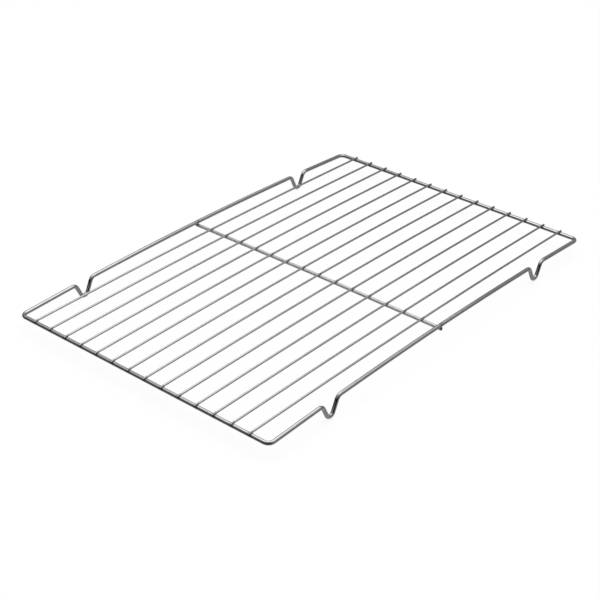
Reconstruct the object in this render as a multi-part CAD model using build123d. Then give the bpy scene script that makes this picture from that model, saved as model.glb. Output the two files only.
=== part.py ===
from build123d import *
import math
import os

# Cooling rack: a closed rim wire with four feet bent into its long sides, one cross bar
# welded underneath and a row of thin grid wires welded on top. Millimetres, +X along the
# grid wires, +Y along the cross bar, +Z up, z = 0 at the bottom of the feet. The welds
# press the grid wires into the rim and the cross bar, which have seats of that shape.

# Driving dimensions
rack_length = 457.0  # outside of the rim, along X
rack_width = 305.0  # outside of the rim, along Y
rim_diameter = 3.8
bar_diameter = 3.4
grid_diameter = 2.0
grid_count = 14

corner_height = 13.7  # wire centre above the table at the four corners
side_rise = 6.0  # how far the middle of a long side stands above its corners
bar_rise = 0.9  # how far the middle of the cross bar stands above its welded ends
corner_radius = 5.5  # wire centre, seen from above

foot_x = 152.0  # middle of a foot from the middle of the rack
foot_lean = 25.5  # degrees between each leg of a foot and the vertical
foot_tip_radius = 4.6  # wire centre
foot_top_radius = 6.0  # wire centre

rim_seat = 0.9  # how deep a grid wire is pressed into the rim
bar_seat = 0.5  # how deep a grid wire is pressed into the cross bar
bow_share = 0.8  # part of the sides and grid wires that curves, the rest runs straight
bar_bow_share = 0.05  # the same for the cross bar, which is straight under the grid wires
grid_overhang = 0.6  # grid wire beyond the outside of the rim
bar_inset = 0.7  # cross bar's ends short of the outside of the rim

# Worked out from the driving dimensions
rim_radius = rim_diameter / 2
bar_radius = bar_diameter / 2
grid_radius = grid_diameter / 2
half_length = (rack_length - rim_diameter) / 2
half_width = (rack_width - rim_diameter) / 2
grid_pitch = 2 * half_width / (grid_count + 1)
side_middle_height = corner_height + side_rise
grid_end_height = corner_height + rim_radius + grid_radius - rim_seat
bar_end_height = side_middle_height - rim_radius - bar_radius
grid_half = half_length + rim_radius + grid_overhang
bar_half = half_width + rim_radius - bar_inset


def bow_slope(rise, half_span, share):
    """Slope of the straight ends of a wire that bows up by rise between +-half_span."""
    return rise / (half_span * (1 - share / 2))


def bow_path(half_run, end_height, rise, half_span, share):
    """Bowed centre line in the XZ plane, supported at +-half_span and run on to +-half_run."""
    slope = bow_slope(rise, half_span, share)
    peak = (0, 0, end_height + slope * half_span)
    tail_height = end_height - slope * (half_run - half_span)
    left = (-half_run, 0, tail_height)
    right = (half_run, 0, tail_height)
    return FilletPolyline(left, peak, right, radius=share * half_span / slope)


def grid_wire_y(index):
    """Place of a grid wire across the rack, the first one on the +Y side."""
    return half_width - (index + 1) * grid_pitch


def grid_middle_height(y):
    """Centre height of a grid wire where it crosses the cross bar's straight half."""
    bar_height = bar_end_height + bow_slope(bar_rise, half_width, bar_bow_share) * (half_width - abs(y))
    return bar_height + bar_radius + grid_radius - bar_seat


def side_height(x):
    """Height of the arched long side's centre line at x, feet left out."""
    return corner_height + side_rise * (1 - (x / half_length) ** 2)


def foot_outline():
    """Corner points (x, z) of the foot on the +X side, from the middle of the rack out."""
    lean = math.radians(foot_lean)
    apex = rim_radius + foot_tip_radius - foot_tip_radius / math.sin(lean)
    half_mouth = (side_height(foot_x) - apex) * math.tan(lean)
    inner_x = foot_x - half_mouth
    outer_x = foot_x + half_mouth
    return [(inner_x, side_height(inner_x)), (foot_x, apex), (outer_x, side_height(outer_x))]


def side_outline():
    """Corner points (x, z) and bend radii of one long side, from -X to +X."""
    foot = foot_outline()
    foot_radii = [foot_top_radius, foot_tip_radius, foot_top_radius]
    inner_x, inner_z = foot[0]
    slope = bow_slope(side_middle_height - inner_z, inner_x, bow_share)
    peak = (0, inner_z + slope * inner_x)
    left = [(-x, z) for x, z in reversed(foot)]
    peak_radius = bow_share * inner_x / slope
    return left + [peak] + foot, foot_radii + [peak_radius] + foot_radii


def rim_path():
    """Closed centre line of the rim wire, feet included."""
    outline, side_radii = side_outline()
    points = []
    for direction in (1, -1):
        y = -direction * half_width
        points.append((-direction * half_length, y, corner_height))
        points += [(direction * x, y, z) for x, z in outline]
        points.append((direction * half_length, y, corner_height))
    radii = [corner_radius] + side_radii + [corner_radius]
    return FilletPolyline(*points, radius=radii * 2, close=True)


def round_wire(path, radius, seam):
    """Solid round wire along a path of lines and arcs, its seam line on the side given."""
    section = Plane(origin=path @ 0, x_dir=seam, z_dir=path % 0) * Circle(radius)
    return sweep(section, path=path)


def weld_seat(x, y, height, tilt):
    """Space that a grid wire takes where it is pressed into the wire below it."""
    return Pos(x, y, height) * Rot(0, tilt, 0) * Cylinder(grid_radius, 3 * rim_diameter, rotation=(0, 90, 0))


def make_rim():
    """Rim wire with a seat for both ends of each grid wire."""
    seats = []
    for index in range(grid_count):
        y = grid_wire_y(index)
        slope = bow_slope(grid_middle_height(y) - grid_end_height, half_length, bow_share)
        tilt = math.degrees(math.atan(slope))
        seats.append(weld_seat(half_length, y, grid_end_height, tilt))
        seats.append(weld_seat(-half_length, y, grid_end_height, -tilt))
    return round_wire(rim_path(), rim_radius, seam=(-1, 0, 0)) - seats


def make_cross_bar():
    """Bar welded under the middle of both long sides, with a seat for each grid wire."""
    path = bow_path(bar_half, bar_end_height, bar_rise, half_width, bar_bow_share)
    bar = Rot(0, 0, 90) * round_wire(path, bar_radius, seam=(0, 0, -1))
    rows = [grid_wire_y(index) for index in range(grid_count)]
    return bar - [weld_seat(0, y, grid_middle_height(y), 0) for y in rows]


def make_grid_wire(y):
    """Thin wire welded on top of both short sides and of the cross bar."""
    rise = grid_middle_height(y) - grid_end_height
    path = bow_path(grid_half, grid_end_height, rise, half_length, bow_share)
    return Pos(0, y, 0) * round_wire(path, grid_radius, seam=(0, 0, 1))


os.makedirs("parts", exist_ok=True)

export_step(make_rim(), "parts/frame_wire.step")
export_step(make_cross_bar(), "parts/cross_bar.step")
for index in range(grid_count):
    export_step(make_grid_wire(grid_wire_y(index)), f"parts/grid_wire_{index + 1:02d}.step")
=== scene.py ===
import math
import random

import bmesh
import bpy
from mathutils import Matrix, Vector


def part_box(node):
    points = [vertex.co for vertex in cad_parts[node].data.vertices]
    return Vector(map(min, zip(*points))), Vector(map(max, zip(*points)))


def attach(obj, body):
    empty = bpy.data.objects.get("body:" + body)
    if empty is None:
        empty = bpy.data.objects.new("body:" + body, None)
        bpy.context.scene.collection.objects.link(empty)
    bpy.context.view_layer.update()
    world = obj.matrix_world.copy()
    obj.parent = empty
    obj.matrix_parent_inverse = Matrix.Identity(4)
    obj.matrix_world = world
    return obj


# Cooling rack in chrome-plated steel wire. The wires are the CAD nodes, given plated metal;
# the weld flash where they cross is built here. Metres, +X along the grid wires, +Z up.

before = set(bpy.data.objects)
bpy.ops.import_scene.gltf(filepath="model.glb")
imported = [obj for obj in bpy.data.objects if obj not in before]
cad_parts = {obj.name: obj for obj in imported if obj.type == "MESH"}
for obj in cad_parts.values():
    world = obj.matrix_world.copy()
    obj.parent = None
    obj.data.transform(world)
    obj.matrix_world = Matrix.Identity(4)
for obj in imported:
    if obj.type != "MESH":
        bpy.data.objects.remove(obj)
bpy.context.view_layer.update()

MM = 0.001
RIM_RADIUS = 1.9 * MM
BAR_RADIUS = 1.7 * MM
GRID_RADIUS = 1.0 * MM
RIM_SEAT = 0.9 * MM  # how deep a grid wire is pressed into the rim
BAR_SEAT = 0.5 * MM  # and into the cross bar
CORNER_RADIUS = 5.5 * MM  # of the rim's centre line
END_DROP = 0.07 * MM  # how far a grid wire falls from its weld on the rim to its tip
CUT_BEVEL = 0.2 * MM

BEAD_RADIUS = 0.45 * MM  # weld flash round a grid wire
NECK_WAIST = 0.85 * MM  # radius of the weld between the cross bar and a long side
NECK_FLARE = 0.45 * MM  # how much wider it is at its top and bottom
NECK_HALF_HEIGHT = 0.55 * MM
NECK_INSET = 0.3 * MM  # middle of that weld, short of the rim's centre line

CHROME = (0.72, 0.73, 0.74)
# Lighter than CHROME: painted light, making the cross bar brighter than the lamps make it.
BAR_CHROME_PAINTED_LIGHT = (0.93, 0.94, 0.95)
BURNT = (0.05, 0.047, 0.045)  # metal burnt by welding
CUT_END_PAINTED_SHADE = (0.15, 0.145, 0.14)  # painted shade on the cut end faces
CLOUD_TINT = 0.88  # share of the chrome's own grey that is left in cloudy plating
HEAT_TINT = 0.45  # beside a weld
WELD_TINT = 0.35  # on the weld flash
HEAT_REACH = 3.5 * MM  # how far from a weld the plating is dulled
LINE_DEPTH = 0.02 * MM
SPECKLE_DEPTH = 0.05 * MM
LINES_ALONG = 80.0  # noise scales of the draw lines, along the wire and across it
LINES_ACROSS = 5200.0
CLOUD_SCALE = 140.0
GRIME_SCALE = 1100.0
SPECKLE_SCALE = 900.0

FLOOR_SIZE = 30
FLOOR_GLOW = 0.78

VIEW_AZIMUTH = math.radians(-48.97)
VIEW_ELEVATION = math.radians(30.54)
VIEW_DISTANCE = 1.4016
VIEW_OFFSET = (-10.93 * MM, -11.10 * MM)  # camera moved right and up, seen from the camera
VIEW_LENS = 88.5

ROOM_SHADES = (  # sine of the elevation, grey seen in the metal there
    (-1.0, 0.30),
    (-0.75, 0.28),
    (-0.55, 0.21),
    (-0.35, 0.20),
    (-0.1, 0.14),
    (0.0, 0.06),
    (0.25, 0.07),
    (0.5, 0.23),
    (1.0, 0.19),
)
ROOM_SIDE_SHADE = 0.09  # how much lighter the room is on the +X side, and darker on the -X side

FLAG_DIRECTION = (-0.79, -0.60, -0.10)  # from the rack towards a black flag
FLAG_DARKNESS = 0.9

GRID_NODES = sorted(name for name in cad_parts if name.startswith("grid_wire_"))
RIM_HIGH = Vector(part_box("frame_wire")[1])
HALF_LENGTH = RIM_HIGH.x - RIM_RADIUS  # to the centre line of the rim's short sides
HALF_WIDTH = RIM_HIGH.y - RIM_RADIUS
GRID_PITCH = 2 * HALF_WIDTH / (len(GRID_NODES) + 1)
BAR_END_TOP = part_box("cross_bar")[0][2] + 2 * BAR_RADIUS


# Materials


def new_material(name):
    """An empty node material and its Principled shader."""
    material = bpy.data.materials.new(name)
    material.use_nodes = True
    return material, material.node_tree, material.node_tree.nodes["Principled BSDF"]


def math_node(tree, operation, first, second=None, third=None):
    """Math node on sockets or plain numbers; returns its output."""
    node = tree.nodes.new("ShaderNodeMath")
    node.operation = operation
    for socket, value in zip(node.inputs, (first, second, third)):
        if isinstance(value, bpy.types.NodeSocket):
            tree.links.new(value, socket)
        elif value is not None:
            socket.default_value = value
    return node.outputs["Value"]


def map_range(tree, value, low, high, to_low=0.0, to_high=1.0, smooth=False):
    """Map Range node; returns its output."""
    node = tree.nodes.new("ShaderNodeMapRange")
    if smooth:
        node.interpolation_type = "SMOOTHSTEP"
    node.inputs["From Min"].default_value = low
    node.inputs["From Max"].default_value = high
    node.inputs["To Min"].default_value = to_low
    node.inputs["To Max"].default_value = to_high
    tree.links.new(value, node.inputs["Value"])
    return node.outputs["Result"]


def noise(tree, vector, scale, detail):
    """Noise texture on a vector socket; returns its grey output."""
    node = tree.nodes.new("ShaderNodeTexNoise")
    node.inputs["Scale"].default_value = scale
    node.inputs["Detail"].default_value = detail
    tree.links.new(vector, node.inputs["Vector"])
    return node.outputs["Fac"]


def mix_colour(tree, factor, first, second):
    """Mixes two colours, each a socket or three numbers; returns the mixed socket."""
    node = tree.nodes.new("ShaderNodeMix")
    node.data_type = "RGBA"
    tree.links.new(factor, node.inputs["Factor"])
    for socket, value in ((node.inputs[6], first), (node.inputs[7], second)):
        if isinstance(value, bpy.types.NodeSocket):
            tree.links.new(value, socket)
        else:
            socket.default_value = (*value, 1)
    return node.outputs[2]


def draw_lines(tree, place, axis):
    """Fine scratches along one axis, left by drawing the wire."""
    stretch = tree.nodes.new("ShaderNodeMapping")
    scales = [LINES_ALONG if name == axis else LINES_ACROSS for name in "XYZ"]
    stretch.inputs["Scale"].default_value = scales
    tree.links.new(place, stretch.inputs["Vector"])
    return noise(tree, stretch.outputs["Vector"], 1.0, 3.0)


def plated_metal(name, tint, roughness, axes, weld_distance, metallic=1.0):
    """Chrome over drawn wire: draw lines, cloudy plating, dulled near welds, painted shade on the cut
    ends.

    axes names the axis that the wire follows; for the rim it is X, and Y on the short sides.
    weld_distance(tree, away_x, away_y) gives the distance to the nearest welds.
    """
    material, tree, shader = new_material(name)
    shader.inputs["Metallic"].default_value = metallic
    coordinates = tree.nodes.new("ShaderNodeTexCoord")
    place = coordinates.outputs["Object"]
    split = tree.nodes.new("ShaderNodeSeparateXYZ")
    tree.links.new(place, split.inputs["Vector"])
    away_x = math_node(tree, "ABSOLUTE", split.outputs["X"])
    away_y = math_node(tree, "ABSOLUTE", split.outputs["Y"])

    lines = draw_lines(tree, place, axes[0])
    if len(axes) > 1:
        short_side = math_node(tree, "GREATER_THAN", away_x, HALF_LENGTH - CORNER_RADIUS)
        lines = mix_colour(tree, short_side, lines, draw_lines(tree, place, axes[1]))
    clouds = noise(tree, place, CLOUD_SCALE, 5.0)
    grime = noise(tree, place, GRIME_SCALE, 3.0)

    cloudiness = map_range(tree, clouds, 0.3, 0.7)
    plating = mix_colour(tree, cloudiness, [CLOUD_TINT * value for value in tint], tint)
    from_weld = weld_distance(tree, away_x, away_y)
    dulled = map_range(tree, from_weld, 0.3 * HEAT_REACH, HEAT_REACH, 1, 0, smooth=True)
    dulled = math_node(tree, "MULTIPLY", dulled, map_range(tree, grime, 0.35, 0.65, 0.45, 0.85))
    plating = mix_colour(tree, dulled, plating, [HEAT_TINT * value for value in tint])
    # The end faces of the wire are painted dark: painted shade.
    if len(axes) == 1:
        facing = tree.nodes.new("ShaderNodeSeparateXYZ")
        tree.links.new(coordinates.outputs["Normal"], facing.inputs["Vector"])
        painted_end_shade = map_range(tree, math_node(tree, "ABSOLUTE", facing.outputs[axes]), 0.75, 0.95)
        plating = mix_colour(tree, painted_end_shade, plating, CUT_END_PAINTED_SHADE)
    tree.links.new(plating, shader.inputs["Base Color"])

    gloss = map_range(tree, clouds, 0.3, 0.7, 0.8 * roughness, 1.3 * roughness)
    gloss = math_node(tree, "MULTIPLY_ADD", dulled, 0.25, gloss)
    tree.links.new(gloss, shader.inputs["Roughness"])

    relief = tree.nodes.new("ShaderNodeBump")
    relief.inputs["Strength"].default_value = 0.25
    relief.inputs["Distance"].default_value = LINE_DEPTH
    tree.links.new(lines, relief.inputs["Height"])
    tree.links.new(relief.outputs["Normal"], shader.inputs["Normal"])
    return material


def rim_weld_distance(tree, away_x, away_y):
    """From the cross bar on the long sides, from the nearest grid wire on the short sides."""
    along_gap = math_node(tree, "MODULO", away_y, GRID_PITCH)
    from_wire = math_node(tree, "SUBTRACT", along_gap, GRID_PITCH / 2)
    past_last_wire = math_node(tree, "SUBTRACT", away_y, HALF_WIDTH - GRID_PITCH / 2)
    from_wire = math_node(tree, "MAXIMUM", math_node(tree, "ABSOLUTE", from_wire), past_last_wire)
    return math_node(tree, "MINIMUM", away_x, from_wire)


def bar_weld_distance(tree, away_x, away_y):
    """From the ends of the cross bar, at the rim."""
    return math_node(tree, "ABSOLUTE", math_node(tree, "SUBTRACT", away_y, HALF_WIDTH))


def grid_weld_distance(tree, away_x, away_y):
    """From the rim or the cross bar, whichever is nearer."""
    from_rim = math_node(tree, "ABSOLUTE", math_node(tree, "SUBTRACT", away_x, HALF_LENGTH))
    return math_node(tree, "MINIMUM", from_rim, away_x)


def weld_metal():
    """Plated weld flash, burnt and matt in patches."""
    material, tree, shader = new_material("weld_metal")
    shader.inputs["Metallic"].default_value = 1.0
    coordinates = tree.nodes.new("ShaderNodeTexCoord")
    speckle = noise(tree, coordinates.outputs["Object"], SPECKLE_SCALE, 4.0)
    patches = map_range(tree, speckle, 0.35, 0.65)
    colour = mix_colour(tree, patches, BURNT, [WELD_TINT * value for value in CHROME])
    tree.links.new(colour, shader.inputs["Base Color"])
    tree.links.new(map_range(tree, speckle, 0.3, 0.7, 0.3, 0.55), shader.inputs["Roughness"])
    relief = tree.nodes.new("ShaderNodeBump")
    relief.inputs["Strength"].default_value = 0.5
    relief.inputs["Distance"].default_value = SPECKLE_DEPTH
    tree.links.new(speckle, relief.inputs["Height"])
    tree.links.new(relief.outputs["Normal"], shader.inputs["Normal"])
    return material


def paint(node_name, material):
    """Gives a CAD node its material."""
    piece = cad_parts[node_name]
    piece.data.materials.clear()
    piece.data.materials.append(material)


# Weld flash


def seam_points(lower_radius, rise, steps=22):
    """Closed curve where a grid wire along X leaves the wire along Y that it is pressed into.

    Measured from the lower wire's centre; rise is the grid wire's height above it.
    """
    reach = math.acos(max(-1.0, (rise - lower_radius) / GRID_RADIUS))
    points = []
    for side in (1, -1):
        for step in range(steps):
            angle = side * reach * (2 * step / steps - 1)
            y = GRID_RADIUS * math.sin(angle)
            z = rise - GRID_RADIUS * math.cos(angle)
            x = side * math.sqrt(max(0.0, lower_radius**2 - z**2))
            points.append(Vector((x, y, z)))
    return points


def add_bead(mesh, centre, points, dice, sides=8):
    """Closed uneven bead of weld flash along points, moved to centre."""
    count = len(points)
    wobble = [dice.uniform(0.75, 1.25) for _ in range(count)]
    rings = []
    for index, point in enumerate(points):
        along = (points[(index + 1) % count] - points[index - 1]).normalized()
        across = along.cross(Vector((0, 0, 1))).normalized()
        up = across.cross(along)
        radius = BEAD_RADIUS * (wobble[index - 1] + 2 * wobble[index] + wobble[(index + 1) % count]) / 4
        ring = []
        for side in range(sides):
            angle = 2 * math.pi * side / sides
            offset = radius * (math.cos(angle) * across + math.sin(angle) * up)
            ring.append(mesh.verts.new(centre + point + offset))
        rings.append(ring)
    for index, ring in enumerate(rings):
        following = rings[(index + 1) % count]
        for side in range(sides):
            after = (side + 1) % sides
            mesh.faces.new((ring[side], ring[after], following[after], following[side]))


def add_neck(mesh, centre, dice, rows=7, sides=20):
    """Short waisted neck of weld metal between two wires, with its middle at centre."""
    rings = []
    for row in range(rows):
        level = 2 * row / (rows - 1) - 1
        radius = NECK_WAIST + NECK_FLARE * level**2
        ring = []
        for side in range(sides):
            angle = 2 * math.pi * side / sides
            reach = radius * dice.uniform(0.94, 1.06)
            height = NECK_HALF_HEIGHT * level
            offset = Vector((reach * math.cos(angle), reach * math.sin(angle), height))
            ring.append(mesh.verts.new(centre + offset))
        rings.append(ring)
    for lower, upper in zip(rings, rings[1:]):
        for side in range(sides):
            after = (side + 1) % sides
            mesh.faces.new((lower[side], lower[after], upper[after], upper[side]))
    mesh.faces.new(list(reversed(rings[0])))
    mesh.faces.new(rings[-1])


def weld_piece(name, mesh, material):
    """Finished weld piece, smooth shaded, riding on the rack."""
    bmesh.ops.recalc_face_normals(mesh, faces=mesh.faces)
    for face in mesh.faces:
        face.smooth = True
    data = bpy.data.meshes.new(name)
    mesh.to_mesh(data)
    mesh.free()
    data.materials.append(material)
    piece = bpy.data.objects.new(name, data)
    bpy.context.collection.objects.link(piece)
    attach(piece, "root")


def grid_wire_line(node_name):
    """A grid wire's place across the rack and its centre heights at the rim and in the middle."""
    low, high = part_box(node_name)
    return (low[1] + high[1]) / 2, low[2] + GRID_RADIUS + END_DROP, high[2] - GRID_RADIUS


def weld_grid_wires(material):
    """Flash round every grid wire, at both ends and over the cross bar."""
    dice = random.Random(7)
    rim_rise = RIM_RADIUS + GRID_RADIUS - RIM_SEAT
    bar_rise = BAR_RADIUS + GRID_RADIUS - BAR_SEAT
    rows = (
        ("welds_front", -HALF_LENGTH, RIM_RADIUS, rim_rise),
        ("welds_back", HALF_LENGTH, RIM_RADIUS, rim_rise),
        ("welds_cross_bar", 0.0, BAR_RADIUS, bar_rise),
    )
    for name, x, lower_radius, rise in rows:
        mesh = bmesh.new()
        points = seam_points(lower_radius, rise)
        for node_name in GRID_NODES:
            y, end_height, middle_height = grid_wire_line(node_name)
            height = end_height if x else middle_height
            add_bead(mesh, Vector((x, y, height - rise)), points, dice)
        weld_piece(name, mesh, material)


def weld_cross_bar(material):
    """Necks between the cross bar's ends and the long sides above it."""
    dice = random.Random(11)
    mesh = bmesh.new()
    for side in (1, -1):
        add_neck(mesh, Vector((0, side * (HALF_WIDTH - NECK_INSET), BAR_END_TOP)), dice)
    weld_piece("welds_long_sides", mesh, material)


# Studio


def floor():
    """Plain white table, far larger than the rack, so bright that the wires hardly shade it."""
    bpy.ops.mesh.primitive_plane_add(size=FLOOR_SIZE)
    piece = bpy.context.object
    piece.name = "floor"
    material, tree, shader = new_material("floor")
    shader.inputs["Base Color"].default_value = (0.9, 0.9, 0.9, 1)
    shader.inputs["Roughness"].default_value = 1.0
    shader.inputs["Specular IOR Level"].default_value = 0.0
    shader.inputs["Emission Color"].default_value = (1, 1, 1, 1)
    shader.inputs["Emission Strength"].default_value = FLOOR_GLOW
    piece.data.materials.append(material)
    piece.visible_glossy = False


def softbox(name, place, width, power, for_metal):
    """Round area light at place, facing down, that lights either the wires or the table."""
    light = bpy.data.lights.new(name, "AREA")
    light.shape = "DISK"
    light.size = width
    light.energy = power
    lamp = bpy.data.objects.new(name, light)
    bpy.context.collection.objects.link(lamp)
    lamp.location = place
    lamp.visible_glossy = for_metal
    lamp.visible_diffuse = not for_metal


def studio():
    """Room seen in the metal: grey above and below, dark at the level of the rack, one black flag.

    The camera itself sees white.
    """
    world = bpy.data.worlds.new("studio")
    bpy.context.scene.world = world
    world.use_nodes = True
    tree = world.node_tree
    link = tree.links.new
    room = tree.nodes["Background"]

    direction = tree.nodes.new("ShaderNodeTexCoord")
    split = tree.nodes.new("ShaderNodeSeparateXYZ")
    link(direction.outputs["Generated"], split.inputs["Vector"])
    shade = tree.nodes.new("ShaderNodeValToRGB")
    stops = shade.color_ramp.elements
    while len(stops) < len(ROOM_SHADES):
        stops.new(0.5)
    for stop, (sine, grey) in zip(stops, ROOM_SHADES):
        stop.position = (sine + 1) / 2
        stop.color = (grey, grey, grey, 1)
    link(map_range(tree, split.outputs["Z"], -1, 1), shade.inputs["Fac"])
    grey = math_node(tree, "MULTIPLY_ADD", split.outputs["X"], ROOM_SIDE_SHADE, shade.outputs["Color"])
    towards_flag = tree.nodes.new("ShaderNodeVectorMath")
    towards_flag.operation = "DOT_PRODUCT"
    link(direction.outputs["Generated"], towards_flag.inputs[0])
    towards_flag.inputs[1].default_value = FLAG_DIRECTION
    unshaded = map_range(tree, towards_flag.outputs["Value"], 0.72, 0.9, 1, 1 - FLAG_DARKNESS, True)
    grey = math_node(tree, "MULTIPLY", math_node(tree, "MAXIMUM", grey, 0.0), unshaded)
    link(grey, room.inputs["Color"])

    backdrop = tree.nodes.new("ShaderNodeBackground")
    backdrop.inputs["Color"].default_value = (1, 1, 1, 1)
    ray = tree.nodes.new("ShaderNodeLightPath")
    pick = tree.nodes.new("ShaderNodeMixShader")
    link(ray.outputs["Is Camera Ray"], pick.inputs[0])
    link(room.outputs["Background"], pick.inputs[1])
    link(backdrop.outputs["Background"], pick.inputs[2])
    link(pick.outputs["Shader"], tree.nodes["World Output"].inputs["Surface"])


def camera():
    """Camera at the viewing angle, a little off the line to the middle of the rack."""
    data = bpy.data.cameras.new("camera")
    data.lens = VIEW_LENS
    piece = bpy.data.objects.new("camera", data)
    bpy.context.collection.objects.link(piece)
    turn = Matrix.Rotation(VIEW_AZIMUTH, 4, "Z") @ Matrix.Rotation(math.pi / 2 - VIEW_ELEVATION, 4, "X")
    right, up, back = (turn.col[axis].to_3d() for axis in range(3))
    turn.translation = back * VIEW_DISTANCE + right * VIEW_OFFSET[0] + up * VIEW_OFFSET[1]
    piece.matrix_world = turn
    bpy.context.scene.camera = piece


def bevel_cut_ends(node_name):
    """Softens the sheared ends of a grid wire."""
    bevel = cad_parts[node_name].modifiers.new("cut_ends", "BEVEL")
    bevel.width = CUT_BEVEL
    bevel.segments = 2
    bevel.limit_method = "ANGLE"
    bevel.angle_limit = math.radians(60)


paint("frame_wire", plated_metal("rim_chrome", CHROME, 0.07, "XY", rim_weld_distance))
# The cross bar's lighter tint is painted light.
paint("cross_bar", plated_metal("bar_chrome_painted_light", BAR_CHROME_PAINTED_LIGHT, 0.45, "Y", bar_weld_distance, metallic=0.8))
grid_chrome = plated_metal("grid_chrome", CHROME, 0.16, "X", grid_weld_distance)
for name in GRID_NODES:
    paint(name, grid_chrome)
    bevel_cut_ends(name)
weld_chrome = weld_metal()
weld_grid_wires(weld_chrome)
weld_cross_bar(weld_chrome)

floor()
studio()
camera()
softbox("table_light", (0, 0, 2.0), 3.0, 4, for_metal=False)
softbox("near_softbox", (0.05, 0.13, 0.60), 0.66, 0.86, for_metal=True)
softbox("wide_softbox", (0.10, 0.18, 0.62), 1.32, 1.65, for_metal=True)
softbox("right_softbox", (0.35, -0.85, 0.60), 1.16, 0.66, for_metal=True)
softbox("left_softbox", (-0.70, 0.70, 0.60), 0.90, 0.25, for_metal=True)
bpy.context.scene.view_settings.view_transform = "Standard"
